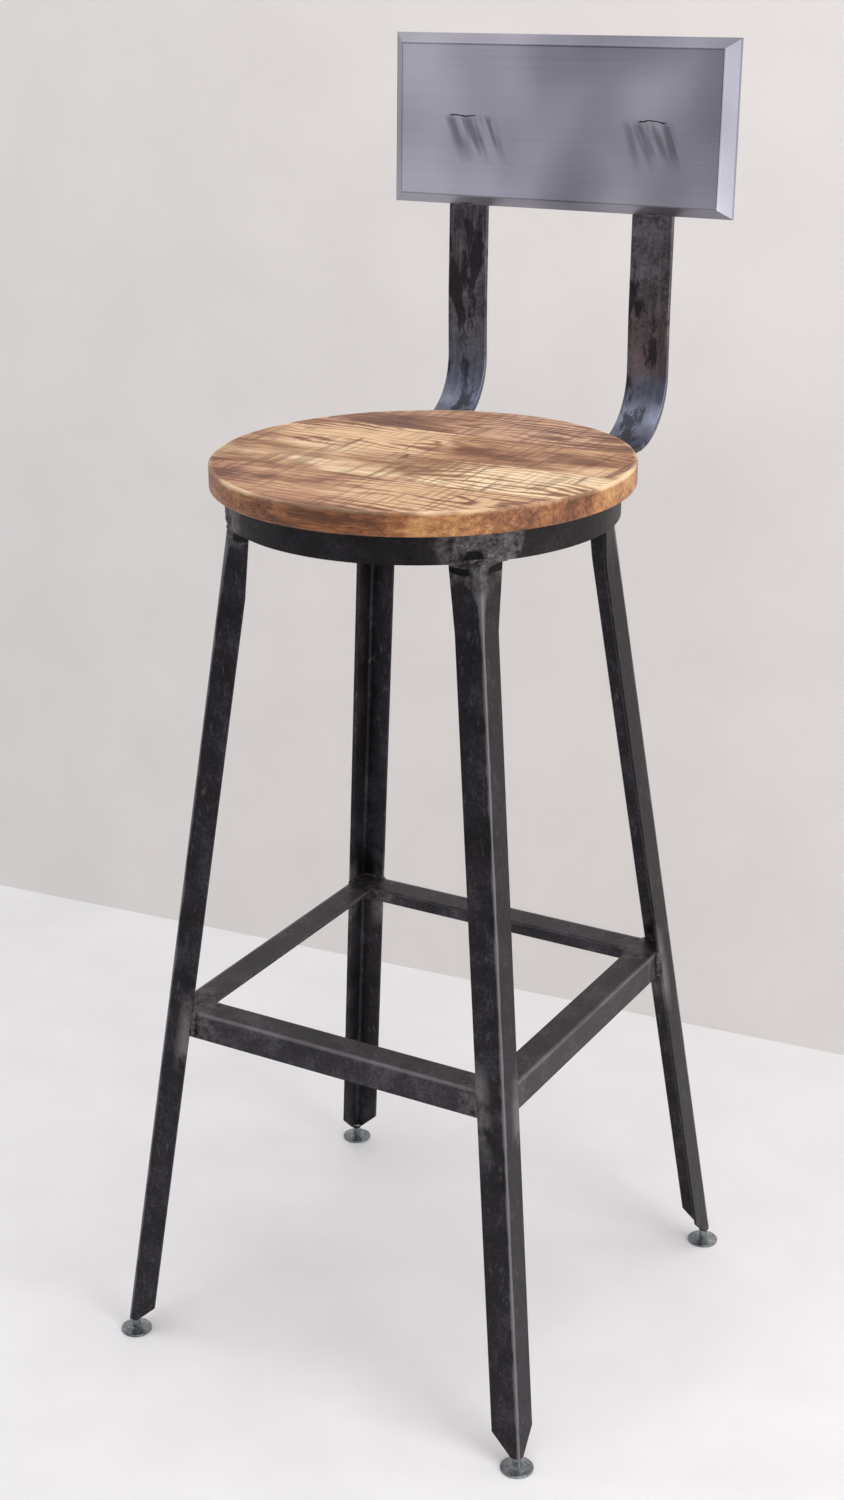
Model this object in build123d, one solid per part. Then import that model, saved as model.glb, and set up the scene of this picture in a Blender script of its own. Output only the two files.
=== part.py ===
from build123d import *
import math
import os

# Bar stool with a round boarded seat, four splayed angle-iron legs, a square angle-iron
# footrest and a folded sheet back panel on two bent flat bars.
# +Z up, front of the stool towards -Y. The pieces are modelled about the seat's axis, then all
# are moved together so that the origin lies on the floor under the middle of the stool.

# ---- seat, mm ----
SEAT_DIA = 350.0
SEAT_THICK = 20.0
SEAT_HEIGHT = 795.0  # floor to the top of the boards
BOARD_WIDTH = 80.0
FIRST_SEAM_Y = -77.0
SEAM_COUNT = 3
SEAT_EDGE_ROUND = 2.0

# ---- hoop under the seat: flat bar rolled on edge ----
RING_INSET = 12.5  # hoop face inside the seat's edge
RING_WALL = 4.0
RING_DEPTH = 25.0

# ---- angle iron of the legs and the footrest ----
ANGLE_LEAF = 25.0
ANGLE_WALL = 3.0
ROOT_ROUND = 3.0
TOE_ROUND = 1.5
HEEL_ROUND = 0.6

# ---- legs ----
LEG_SPREAD = 201.3  # heel of the angle to the middle plane, carried down to floor level
LEG_PROUD = 1.3  # heel stands this far outside the hoop
OPENED_LENGTH = 58.0  # top stretch where the leaves are opened to follow the hoop
OPENED_ANGLE = 122.0
TIP_HEIGHT = 12.0  # cut end of the leg above the floor
TIP_WIDTH = 8.0  # leaf left at the cut end
TAPER_HEIGHT = 18.0

# ---- feet: turned discs on a short stem ----
FOOT_DIA = 28.0
FOOT_RIM = 2.0
FOOT_DOME = 1.5  # rise from the rim to the stem
FOOT_EDGE_ROUND = 0.6
STEM_DIA = 7.5
STEM_INSET = 4.5  # stem axis inside the heel at the leg's cut end

# ---- footrest ----
FOOTREST_HEIGHT = 324.0  # floor to the top of the rails

# ---- back support bars ----
SUPPORT_WIDTH = 38.0
SUPPORT_THICK = 5.0
SUPPORT_SPACING = 179.2  # centre to centre
SUPPORT_GAP = 68.0  # edge of the seat to the middle of the upright bar
BEND_RADIUS = 55.5  # centre line of the big bend
UPRIGHT_RISE = 75.0  # top of the seat to where the bar starts to lean back
LEAN = 2.0  # degrees
LEAN_RADIUS = 400.0
JOGGLE_RADIUS = 20.0
JOGGLE_ANGLE = 25.0
JOGGLE_START = 8.0  # above the panel's lower rear edge
SUPPORT_EDGE_ROUND = 1.0
NOTCH_CLEARANCE = 0.5

# ---- back panel: folded sheet tray, open at the back ----
PANEL_WIDTH = 305.0  # flat face between the folds
PANEL_HEIGHT = 129.6
PANEL_RISE = 241.3  # top of the seat to the middle of the panel
SHEET = 1.5
LIP_DEPTH = 11.0
SIDE_LIP_SPREAD = 11.3
LEVEL_LIP_SPREAD = 8.4

# ---- wood screws through the support bars into the boards ----
SCREW_DIA = 4.0
SCREW_BITE = 14.0
SCREW_HEAD_DIA = 8.0
SCREW_HEAD_HEIGHT = 2.5
BAR_HOLE_CLEARANCE = 0.3  # radial
PILOT_CLEARANCE = 0.05  # radial
OUTER_SCREW_INSET = 30.0  # from the last seam, on the two outer boards

# ---- places that follow from the sizes ----
seat_r = SEAT_DIA / 2
seat_under = SEAT_HEIGHT - SEAT_THICK
ring_r = seat_r - RING_INSET
ring_inner_r = ring_r - RING_WALL
ring_bottom = seat_under - RING_DEPTH
heel_top = (ring_r + LEG_PROUD) / math.sqrt(2)
leg_lean = (LEG_SPREAD - heel_top) / ring_bottom
kink_z = ring_bottom - OPENED_LENGTH
support_x = SUPPORT_SPACING / 2
run_z = seat_under - SUPPORT_THICK / 2
reach = seat_r + SUPPORT_GAP
upright_top = SEAT_HEIGHT + UPRIGHT_RISE
panel_z = SEAT_HEIGHT + PANEL_RISE
seams = [FIRST_SEAM_Y + i * BOARD_WIDTH for i in range(SEAM_COUNT)]
lean = math.radians(LEAN)
FAR = 2000.0

CORNERS = {
    "front_left": (-1, -1),
    "front_right": (1, -1),
    "back_left": (-1, 1),
    "back_right": (1, 1),
}


def heel(z):
    """Distance of a leg's heel from each middle plane at height z."""
    return LEG_SPREAD - leg_lean * z


def to_corner(shape, sign_x, sign_y):
    """Mirrors a shape made in the +X +Y corner into another corner."""
    if sign_x < 0:
        shape = mirror(shape, about=Plane.YZ)
    if sign_y < 0:
        shape = mirror(shape, about=Plane.XZ)
    return shape


def angle_section(z, opening):
    """Angle-iron section lying level at height z, its heel outward on the +X +Y diagonal."""
    half = math.radians(opening / 2)
    inward = math.radians(225)
    u = Vector(math.cos(inward - half), math.sin(inward - half))
    v = Vector(math.cos(inward + half), math.sin(inward + half))
    n_u = Vector(-u.Y, u.X)
    n_v = Vector(v.Y, -v.X)
    h = Vector(heel(z), heel(z))
    root = h + Vector(-1, -1).normalized() * (ANGLE_WALL / math.sin(half))
    outline = [
        h,
        h + u * ANGLE_LEAF,
        h + u * ANGLE_LEAF + n_u * ANGLE_WALL,
        root,
        h + v * ANGLE_LEAF + n_v * ANGLE_WALL,
        h + v * ANGLE_LEAF,
    ]
    rounds = [HEEL_ROUND, 0, TOE_ROUND, ROOT_ROUND, TOE_ROUND, 0]
    face = make_face(Polyline(*[(p.X, p.Y, z) for p in outline], close=True))
    for point, radius in zip(outline, rounds):
        if radius:
            at = face.vertices().sort_by_distance((point.X, point.Y, z))[0]
            face = fillet(at, radius)
    return face


def make_leg():
    """Leg of the +X +Y corner."""
    slope = Vector(-leg_lean, -leg_lean, 1)
    shaft_height = kink_z - TIP_HEIGHT
    shaft = extrude(
        angle_section(TIP_HEIGHT, 90),
        amount=shaft_height * slope.length,
        dir=slope.normalized(),
    )
    top = loft([angle_section(kink_z, 90), angle_section(ring_bottom, OPENED_ANGLE)], ruled=True)
    leg = shaft + top
    tip = heel(TIP_HEIGHT) - TIP_WIDTH
    free = heel(TIP_HEIGHT + TAPER_HEIGHT) - ANGLE_LEAF
    slope_out = TAPER_HEIGHT / (tip - free)
    past = 2 * ANGLE_LEAF
    taper = [
        (tip, TIP_HEIGHT - 1),
        (tip, TIP_HEIGHT),
        (tip - past, TIP_HEIGHT + slope_out * past),
        (tip - past, TIP_HEIGHT - 1),
    ]
    cut_x = make_face(Polyline(*[(a, 0, z) for a, z in taper], close=True))
    cut_y = make_face(Polyline(*[(0, a, z) for a, z in taper], close=True))
    leg -= extrude(cut_x, amount=FAR, both=True)
    leg -= extrude(cut_y, amount=FAR, both=True)
    return leg


def make_foot():
    """Disc foot of the +X +Y corner, its stem ending under the leg's cut end."""
    centre = heel(TIP_HEIGHT) - STEM_INSET
    r = FOOT_DIA / 2
    stem_r = STEM_DIA / 2
    crown = FOOT_RIM + FOOT_DOME
    mid_r = (r + stem_r) / 2
    outline = [
        (0, 0),
        (r, 0),
        (r, FOOT_RIM),
        (mid_r, FOOT_RIM + FOOT_DOME / 3),
        (stem_r, crown),
        (stem_r, TIP_HEIGHT),
        (0, TIP_HEIGHT),
    ]
    foot = revolve(make_face(Polyline(*[(x, 0, z) for x, z in outline], close=True)), axis=Axis.Z)
    rims = foot.edges().filter_by(lambda e: abs(e.length - math.pi * FOOT_DIA) < 0.01)
    foot = fillet(rims, FOOT_EDGE_ROUND)
    return Pos(centre, centre, 0) * foot


def make_rail():
    """Front rail of the footrest: one leaf level on top, one hanging outside, ends mitred."""
    top = FOOTREST_HEIGHT
    out = heel(top) - ANGLE_WALL
    outline = [
        (-out, top),
        (-out + ANGLE_LEAF, top),
        (-out + ANGLE_LEAF, top - ANGLE_WALL),
        (-out + ANGLE_WALL, top - ANGLE_WALL),
        (-out + ANGLE_WALL, top - ANGLE_LEAF),
        (-out, top - ANGLE_LEAF),
    ]
    rounds = [HEEL_ROUND, 0, TOE_ROUND, ROOT_ROUND, TOE_ROUND, 0]
    section = make_face(Polyline(*[(0, y, z) for y, z in outline], close=True))
    for (y, z), radius in zip(outline, rounds):
        if radius:
            at = section.vertices().sort_by_distance((0, y, z))[0]
            section = fillet(at, radius)
    bar = extrude(section, amount=out, dir=(1, 0, 0)) + extrude(section, amount=out, dir=(-1, 0, 0))
    ground = out - ROOT_ROUND / 2
    inner = out - ANGLE_LEAF
    plan = [
        (out - ROOT_ROUND, -out),
        (ground, -ground),
        (inner, -inner),
        (-inner, -inner),
        (-ground, -ground),
        (ROOT_ROUND - out, -out),
    ]
    mitres = make_face(Polyline(*[(x, y, 0) for x, y in plan], close=True))
    return bar & extrude(mitres, amount=2 * top, dir=(0, 0, 1))


def make_boards():
    """Glued boards of the round seat, front to back."""
    pilot_r = SCREW_DIA / 2 + PILOT_CLEARANCE
    edges = [-seat_r] + seams + [seat_r]
    boards = []
    for low, high in zip(edges, edges[1:]):
        plan = Circle(seat_r) & Pos(0, (low + high) / 2) * Rectangle(2 * SEAT_DIA, high - low)
        board = extrude(Pos(0, 0, seat_under) * plan, amount=SEAT_THICK)
        board = fillet(board.edges().filter_by(GeomType.CIRCLE), SEAT_EDGE_ROUND)
        for x, y in screw_places():
            if low < y < high:
                board -= Pos(x, y, seat_under) * Cylinder(
                    pilot_r, SCREW_BITE, align=(Align.CENTER, Align.CENTER, Align.MIN)
                )
        boards.append(board)
    return boards


def screw_places():
    """Two screws in each board, one through each support bar."""
    rows = [seams[0] - OUTER_SCREW_INSET]
    rows += [(a + b) / 2 for a, b in zip(seams, seams[1:])]
    rows += [seams[-1] + OUTER_SCREW_INSET]
    return [(side * support_x, y) for side in (-1, 1) for y in rows]


def make_screws():
    """Pan-head wood screws with a pointed end, heads under the bars."""
    head_top = seat_under - SUPPORT_THICK
    r = SCREW_DIA / 2
    head_r = SCREW_HEAD_DIA / 2
    tip = seat_under + SCREW_BITE - PILOT_CLEARANCE
    profile = [
        (0, head_top - SCREW_HEAD_HEIGHT),
        (head_r - SCREW_HEAD_HEIGHT / 2, head_top - SCREW_HEAD_HEIGHT),
        (head_r, head_top - SCREW_HEAD_HEIGHT / 2),
        (head_r, head_top),
        (r, head_top),
        (r, tip - SCREW_DIA),
        (0, tip),
    ]
    screw = revolve(make_face(Polyline(*[(x, 0, z) for x, z in profile], close=True)), axis=Axis.Z)
    return Compound([Pos(x, y, 0) * screw for x, y in screw_places()])


def make_ring():
    """Hoop under the seat, let in at the back for the two support bars."""
    low = (Align.CENTER, Align.CENTER, Align.MIN)
    ring = Cylinder(ring_r, RING_DEPTH, align=low) - Cylinder(ring_inner_r, RING_DEPTH, align=low)
    ring = Pos(0, 0, ring_bottom) * ring
    notch_width = SUPPORT_WIDTH + 2 * NOTCH_CLEARANCE
    for side in (-1, 1):
        ring -= Pos(side * support_x, seat_r, run_z) * Box(notch_width, SEAT_DIA, SUPPORT_THICK)
    return ring


def support_path():
    """Centre line of a support bar as (y, z) steps, and the panel's place on it."""
    bend_y = reach - BEND_RADIUS
    bend_z = run_z + BEND_RADIUS
    lean_y = reach + LEAN_RADIUS * (1 - math.cos(lean))
    lean_z = upright_top + LEAN_RADIUS * math.sin(lean)
    along = (math.sin(lean), math.cos(lean))
    back = (math.cos(lean), -math.sin(lean))
    stand_off = LIP_DEPTH + SUPPORT_THICK / 2
    to_centre = (panel_z - stand_off * math.sin(lean) - lean_z) / math.cos(lean)
    middle_y = lean_y + to_centre * along[0] - stand_off * back[0]

    def panel_point(depth, height):
        y = middle_y + depth * back[0] + height * along[0]
        z = panel_z + depth * back[1] + height * along[1]
        return (0, y, z)

    turn = math.radians(JOGGLE_ANGLE)
    drop = stand_off - (SHEET + SUPPORT_THICK / 2)
    slant = (drop - 2 * JOGGLE_RADIUS * (1 - math.cos(turn))) / math.sin(turn)
    step_in = JOGGLE_RADIUS * (1 - math.cos(turn))
    step_up = JOGGLE_RADIUS * math.sin(turn)
    half_step_in = JOGGLE_RADIUS * (1 - math.cos(turn / 2))
    half_step_up = JOGGLE_RADIUS * math.sin(turn / 2)
    h0 = JOGGLE_START - PANEL_HEIGHT / 2 - LEVEL_LIP_SPREAD
    h1 = h0 + step_up
    h2 = h1 + slant * math.cos(turn)
    h3 = h2 + step_up
    d1 = stand_off - step_in
    d2 = d1 - slant * math.sin(turn)
    d3 = d2 - step_in
    steps = [
        Line((0, -seat_r, run_z), (0, bend_y, run_z)),
        ThreePointArc(
            (0, bend_y, run_z),
            (0, bend_y + BEND_RADIUS * math.sqrt(0.5), bend_z - BEND_RADIUS * math.sqrt(0.5)),
            (0, reach, bend_z),
        ),
        Line((0, reach, bend_z), (0, reach, upright_top)),
        ThreePointArc(
            (0, reach, upright_top),
            (
                0,
                reach + LEAN_RADIUS * (1 - math.cos(lean / 2)),
                upright_top + LEAN_RADIUS * math.sin(lean / 2),
            ),
            (0, lean_y, lean_z),
        ),
        Line((0, lean_y, lean_z), panel_point(stand_off, h0)),
        ThreePointArc(
            panel_point(stand_off, h0),
            panel_point(stand_off - half_step_in, h0 + half_step_up),
            panel_point(d1, h1),
        ),
        Line(panel_point(d1, h1), panel_point(d2, h2)),
        ThreePointArc(
            panel_point(d2, h2),
            panel_point(d3 + half_step_in, h3 - half_step_up),
            panel_point(d3, h3),
        ),
        Line(panel_point(d3, h3), panel_point(d3, 0)),
    ]
    return Wire([step.edge() for step in steps]), panel_point


def make_support():
    """Bent flat bar of the +X side: under the seat, round the big bend and up to the panel."""
    path, _ = support_path()
    section = Plane(origin=path @ 0, x_dir=(1, 0, 0), z_dir=(0, 1, 0)) * RectangleRounded(
        SUPPORT_WIDTH, SUPPORT_THICK, SUPPORT_EDGE_ROUND
    )
    bar = Pos(support_x, 0, 0) * sweep(section, path=path)
    front = Pos(0, -seat_r, run_z) * Box(FAR, SEAT_DIA, 2 * SUPPORT_THICK)
    bar -= front - Pos(0, 0, run_z) * Cylinder(ring_inner_r, 2 * SUPPORT_THICK)
    head_top = seat_under - SUPPORT_THICK
    hole_r = SCREW_DIA / 2 + BAR_HOLE_CLEARANCE
    for x, y in screw_places():
        if x > 0:
            bar -= Pos(x, y, head_top) * Cylinder(hole_r, 4 * SUPPORT_THICK)
    return bar


def make_panel():
    """Tray folded from sheet: flat face forward, four sloping lips going back."""
    _, panel_point = support_path()
    _, middle_y, middle_z = panel_point(0, 0)
    # the panel's own frame: local X along the stool's X, local Z towards the back
    own = Plane(
        origin=(0, middle_y, middle_z),
        x_dir=(1, 0, 0),
        z_dir=(0, math.cos(lean), -math.sin(lean)),
    )

    def slab(depth, grow_x, grow_z):
        return own.offset(depth) * Rectangle(PANEL_WIDTH + 2 * grow_x, PANEL_HEIGHT + 2 * grow_z)

    wall_x = SHEET * math.hypot(SIDE_LIP_SPREAD, LIP_DEPTH) / LIP_DEPTH
    wall_z = SHEET * math.hypot(LEVEL_LIP_SPREAD, LIP_DEPTH) / LIP_DEPTH

    def spread(depth, wall):
        share = depth / LIP_DEPTH
        grow_x = SIDE_LIP_SPREAD * share - (wall_x if wall else 0)
        grow_z = LEVEL_LIP_SPREAD * share - (wall_z if wall else 0)
        return slab(depth, grow_x, grow_z)

    outer = loft([spread(0, False), spread(LIP_DEPTH, False)], ruled=True)
    inner = loft([spread(SHEET, True), spread(2 * LIP_DEPTH, True)], ruled=True)
    return outer - inner


def build():
    nodes = {"seat_ring": make_ring(), "back_panel": make_panel(), "seat_screws": make_screws()}
    for number, board in enumerate(make_boards(), 1):
        nodes[f"seat_board_{number}"] = board
    leg = make_leg()
    foot = make_foot()
    for corner, signs in CORNERS.items():
        nodes[f"leg_{corner}"] = to_corner(leg, *signs)
        nodes[f"foot_{corner}"] = to_corner(foot, *signs)
    rail = make_rail()
    for turns, side in enumerate(("front", "right", "back", "left")):
        nodes[f"footrest_rail_{side}"] = Rot(0, 0, 90 * turns) * rail
    support = make_support()
    nodes["back_support_right"] = support
    nodes["back_support_left"] = mirror(support, about=Plane.YZ)
    return nodes


os.makedirs("parts", exist_ok=True)
nodes = build()
extent = Compound(list(nodes.values())).bounding_box()
to_origin = Pos(0, -(extent.min.Y + extent.max.Y) / 2, 0)
for name, shape in nodes.items():
    export_step(to_origin * shape, f"parts/{name}.step")
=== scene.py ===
import math

import bpy
from mathutils import Matrix, Vector, noise


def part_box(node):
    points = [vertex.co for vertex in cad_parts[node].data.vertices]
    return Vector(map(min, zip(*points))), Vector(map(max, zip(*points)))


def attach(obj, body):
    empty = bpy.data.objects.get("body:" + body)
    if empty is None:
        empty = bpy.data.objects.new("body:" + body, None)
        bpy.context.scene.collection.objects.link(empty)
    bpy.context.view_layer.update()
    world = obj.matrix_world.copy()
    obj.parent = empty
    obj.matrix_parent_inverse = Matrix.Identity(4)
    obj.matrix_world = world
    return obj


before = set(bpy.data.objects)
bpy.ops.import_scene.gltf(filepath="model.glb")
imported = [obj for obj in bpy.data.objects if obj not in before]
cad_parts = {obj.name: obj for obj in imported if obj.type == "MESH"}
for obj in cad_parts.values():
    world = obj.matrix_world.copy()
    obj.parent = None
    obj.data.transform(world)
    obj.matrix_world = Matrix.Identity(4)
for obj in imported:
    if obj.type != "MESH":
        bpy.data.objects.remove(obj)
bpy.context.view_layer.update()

MM = 0.001

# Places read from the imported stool, in metres.
ring_low, ring_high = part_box("seat_ring")
seat_y = (ring_low.y + ring_high.y) / 2
ring_r = (ring_high.x - ring_low.x) / 2
seat_low, seat_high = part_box("seat_board_2")
seat_r = seat_high.x
leg_low, leg_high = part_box("leg_front_right")
rail_low, rail_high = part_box("footrest_rail_front")
panel_low, panel_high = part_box("back_panel")
bar_low, bar_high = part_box("back_support_right")
disc_low, disc_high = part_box("foot_front_right")
bar_x = (bar_low.x + bar_high.x) / 2

# Stock sizes of the steel.
LEAF = 25 * MM  # leaf of the angle iron
WALL = 3 * MM  # thickness of the angle iron
BAR_THICK = 5 * MM  # flat bar behind the seat
STEM_R = 3.75 * MM
LEG_PROUD = 1.3 * MM  # the legs' heels stand this far out of the hoop
OPENED_HALF = math.radians(61)  # half the angle between the leaves at the hoop
STEM_CUT = 3.2 * MM  # the stem's weld lies this far above the leg's cut end
PANEL_LEAN = math.radians(2)
LIP_DEPTH = 11 * MM  # the panel's lips, from the face to their back edge
SIDE_LIP = 11.3 * MM  # how far each lip spreads beyond the flat face
TOP_LIP = 8.3 * MM
BOTTOM_LIP = 8.9 * MM

# Sizes of the marks that the maker's work left on the steel.
HEEL_GROUND = 70 * MM  # length of leg below the hoop that was ground
HOOP_GROUND = 36 * MM  # ground patch on the hoop, out from each leg
MITRE_GROUND = 34 * MM  # ground patch at each corner of the footrest
SMEAR = 46 * MM  # grey smear on the legs, up and down from the footrest's weld
HEAT_LINE = 14 * MM  # half length of the burnt lines on the panel
RUBBED = 27 * MM  # half width of the patches rubbed under them
STROKE_LEAN = 0.4  # the strokes move this far aside for each length down

# The legs' heels run straight from the cut tip to the hoop, and the footrest's outside is a square.
heel_top = (ring_r + LEG_PROUD) / math.sqrt(2)
heel_slope = (leg_high.x - heel_top) / (ring_low.z - leg_low.z)
rest_half = seat_y - rail_low.y
rest_top = rail_high.z
CORNERS = {"front_left": (-1, -1), "front_right": (1, -1), "back_left": (-1, 1), "back_right": (1, 1)}


def heel(z):
    """Distance of the heels from the stool's middle planes at height z."""
    return leg_high.x - heel_slope * (z - leg_low.z)


# Materials.


def linear(code):
    """sRGB hex to linear colour."""
    parts = [int(code[i : i + 2], 16) / 255 for i in (1, 3, 5)]
    return [c / 12.92 if c <= 0.04045 else ((c + 0.055) / 1.055) ** 2.4 for c in parts] + [1.0]


def add(tree, kind, links=None, out=0, stops=None, **settings):
    """Adds a shader node with its settings, input links or values, and colour stops. Gives one output."""
    made = tree.nodes.new("ShaderNode" + kind)
    for key, value in settings.items():
        setattr(made, key, value)
    for key, value in (links or {}).items():
        if isinstance(value, bpy.types.NodeSocket):
            tree.links.new(value, made.inputs[key])
        else:
            made.inputs[key].default_value = value
    for i, (place, code) in enumerate(stops or []):
        if i > 1:
            made.color_ramp.elements.new(place)
        made.color_ramp.elements[i].position = place
        made.color_ramp.elements[i].color = linear(code)
    return made.outputs[out] if made.outputs else made


def surface(name, build, depth, **fixed):
    """Principled material. build gives colour, roughness and height; depth is the relief in metres."""
    made = bpy.data.materials.new(name)
    made.use_nodes = True
    tree = made.node_tree
    tree.nodes.clear()
    colour, rough, height = build(tree)
    links = {"Base Color": colour, "Roughness": rough}
    links["Normal"] = add(tree, "Bump", {"Height": height, "Distance": depth})
    links.update({key.replace("_", " "): value for key, value in fixed.items()})
    add(tree, "OutputMaterial", {"Surface": add(tree, "BsdfPrincipled", links)})
    return made


def folded(tree):
    """Position with the four equal corners of the stool laid over each other: (|x|, |y|, z)."""
    place = add(tree, "TexCoord", out="Object")
    moved = add(tree, "VectorMath", {0: place, 1: (0, -seat_y, 0)}, operation="ADD")
    moved = add(tree, "VectorMath", {0: moved}, operation="ABSOLUTE")
    whole = add(tree, "SeparateXYZ", {0: moved}).node.outputs
    return place, whole["X"], whole["Y"], whole["Z"]


def mill_scale(tree, place, seed, stops):
    """Hot-rolled skin: 30 mm clouds of blue-black oxide, with 3 mm flecks where it has flaked."""
    clouds = add(tree, "TexNoise", {"Vector": place, "W": seed, "Scale": 33.0, "Detail": 4.0,
                                    "Roughness": 0.6}, noise_dimensions="4D")
    flecks = add(tree, "TexNoise", {"Vector": place, "W": seed, "Scale": 330.0, "Detail": 3.0,
                                    "Roughness": 0.7}, noise_dimensions="4D")
    blend = add(tree, "Mix", {0: 0.42, 2: clouds, 3: flecks})
    colour = add(tree, "ValToRGB", {"Fac": blend}, stops=stops)
    return colour, clouds, flecks


def bare_patch(tree, colour, share, flecks):
    """Steel bared by the grinder where share is near 1: grey-brown and mottled, with 7 mm dark pits."""
    place = add(tree, "TexCoord", out="Object")
    pits = add(tree, "TexNoise", {"Vector": place, "Scale": 150.0, "Detail": 3.0, "Roughness": 0.55})
    mottled = add(tree, "Mix", {0: 0.3, 2: pits, 3: flecks})
    mottled = add(tree, "ValToRGB", {"Fac": mottled},
                  stops=[(0.38, "#242123"), (0.46, "#4b4748"), (0.6, "#6f6b6d")])
    return add(tree, "Mix", {0: share, 6: colour, 7: mottled}, out=2, data_type="RGBA")


def corner_share(tree, across, along, corner, reach, clouds):
    """1 near a corner of the folded plan and 0 beyond reach, with a ragged edge."""
    dx = add(tree, "Math", {0: across, 1: corner}, operation="SUBTRACT")
    dy = add(tree, "Math", {0: along, 1: corner}, operation="SUBTRACT")
    gap = add(tree, "CombineXYZ", {"X": dx, "Y": dy})
    gap = add(tree, "VectorMath", {0: gap}, out="Value", operation="LENGTH")
    gap = add(tree, "Math", {0: clouds, 1: -1.6 * reach, 2: add(tree, "Math", {0: gap, 1: 0.8 * reach})},
              operation="MULTIPLY_ADD")
    return add(tree, "MapRange", {"Value": gap, "From Min": 1.05 * reach, "From Max": 0.75 * reach},
               interpolation_type="SMOOTHSTEP")


def leg_steel(tree):
    """Hot-rolled angle iron with its mill scale left on: blue-black, mottled and half dull. The heel is
    painted bright, 2 mm wide, partly a painted highlight along the arris and partly rubbed by handling, and
    wider near the hoop, where the weld was ground."""
    place, across, along, height = folded(tree)
    colour, clouds, flecks = mill_scale(tree, place, 1.0,
                                        [(0.36, "#19171a"), (0.5, "#2a272c"), (0.64, "#464349")])
    # inside is 0 on the heel's line and grows across both leaves
    twice = add(tree, "Math", {0: height, 1: -2 * heel_slope, 2: 2 * heel(0)}, operation="MULTIPLY_ADD")
    both = add(tree, "Math", {0: across, 1: along})
    inside = add(tree, "Math", {0: twice, 1: both}, operation="SUBTRACT")
    # each leaf's edge is smeared grey beside the footrest's weld
    from_heel = add(tree, "Math", {0: across, 1: along}, operation="MINIMUM")
    from_heel = add(tree, "Math", {0: twice, 1: 0.5, 2: add(tree, "Math", {0: from_heel, 1: -1.0},
                    operation="MULTIPLY")}, operation="MULTIPLY_ADD")
    at_edge = add(tree, "MapRange", {"Value": from_heel, "From Min": 11 * MM, "From Max": 20 * MM})
    away = add(tree, "Math", {0: height, 1: rest_top - 16 * MM}, operation="SUBTRACT")
    away = add(tree, "Math", {0: away}, operation="ABSOLUTE")
    at_rest = add(tree, "MapRange", {"Value": away, "From Min": SMEAR, "From Max": 20 * MM})
    smeared = add(tree, "Math", {0: at_edge, 1: at_rest}, operation="MULTIPLY")
    smeared = add(tree, "Math", {0: smeared, 1: add(tree, "MapRange", {"Value": clouds, "From Min": 0.4,
                  "From Max": 0.55, "To Max": 0.8})}, operation="MULTIPLY")
    colour = add(tree, "Mix", {0: smeared, 6: colour, 7: linear("#7f7b7a")}, out=2, data_type="RGBA")
    # pale heel line: partly a painted highlight along the arris, partly rubbed and ground steel
    near_top = add(tree, "MapRange", {"Value": height, "From Min": ring_low.z - HEEL_GROUND,
                                      "From Max": ring_low.z})
    reach = add(tree, "MapRange", {"Value": near_top, "To Min": 2.4 * MM, "To Max": 6 * MM})
    ragged = add(tree, "Math", {0: clouds, 1: 2.2}, operation="MULTIPLY")
    reach = add(tree, "Math", {0: reach, 1: ragged}, operation="MULTIPLY")
    rubbed = add(tree, "Math", {0: inside, 1: reach}, operation="DIVIDE")
    rubbed = add(tree, "MapRange", {"Value": rubbed, "From Min": 1.0, "From Max": 0.25})
    rubbed = add(tree, "Math", {0: rubbed, 1: 0.8}, operation="MULTIPLY")
    colour = add(tree, "Mix", {0: rubbed, 6: colour, 7: linear("#8b888c")}, out=2, data_type="RGBA")
    # pale scuffs, 5 mm wide and 17 mm long
    upright = add(tree, "Mapping", {"Vector": place, "Scale": (190, 190, 60)})
    scuffs = add(tree, "TexNoise", {"Vector": upright, "Scale": 1.0, "Detail": 4.0, "Roughness": 0.7})
    scuffs = add(tree, "MapRange", {"Value": scuffs, "From Min": 0.58, "From Max": 0.72, "To Max": 0.45})
    colour = add(tree, "Mix", {0: scuffs, 6: colour, 7: linear("#6f6c70")}, out=2, data_type="RGBA")
    spots = add(tree, "Math", {0: near_top, 1: clouds}, operation="MULTIPLY")
    spots = add(tree, "MapRange", {"Value": spots, "From Min": 0.34, "From Max": 0.5})
    colour = bare_patch(tree, colour, spots, flecks)
    rough = add(tree, "MapRange", {"Value": clouds, "From Min": 0.3, "From Max": 0.7,
                                   "To Min": 0.36, "To Max": 0.56})
    # painted shade lies in the undercut 8 mm below the hoop, on both sides of the heel
    level = add(tree, "Math", {0: clouds, 1: 14 * MM, 2: ring_low.z - 15 * MM}, operation="MULTIPLY_ADD")
    level = add(tree, "Math", {0: add(tree, "Math", {0: height, 1: level}, operation="SUBTRACT")},
                operation="ABSOLUTE")
    undercut_shade = add(tree, "MapRange", {"Value": level, "From Min": 3.4 * MM, "From Max": 2.2 * MM})
    undercut_shade = add(tree, "Math", {0: undercut_shade, 1: add(tree, "MapRange", {"Value": inside, "From Min": 5 * MM,
               "From Max": 7 * MM})}, operation="MULTIPLY")
    colour = add(tree, "Mix", {0: undercut_shade, 6: colour, 7: linear("#0f0d0f")}, out=2, data_type="RGBA")
    return colour, rough, add(tree, "Math", {0: flecks, 1: undercut_shade}, operation="SUBTRACT")


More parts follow.
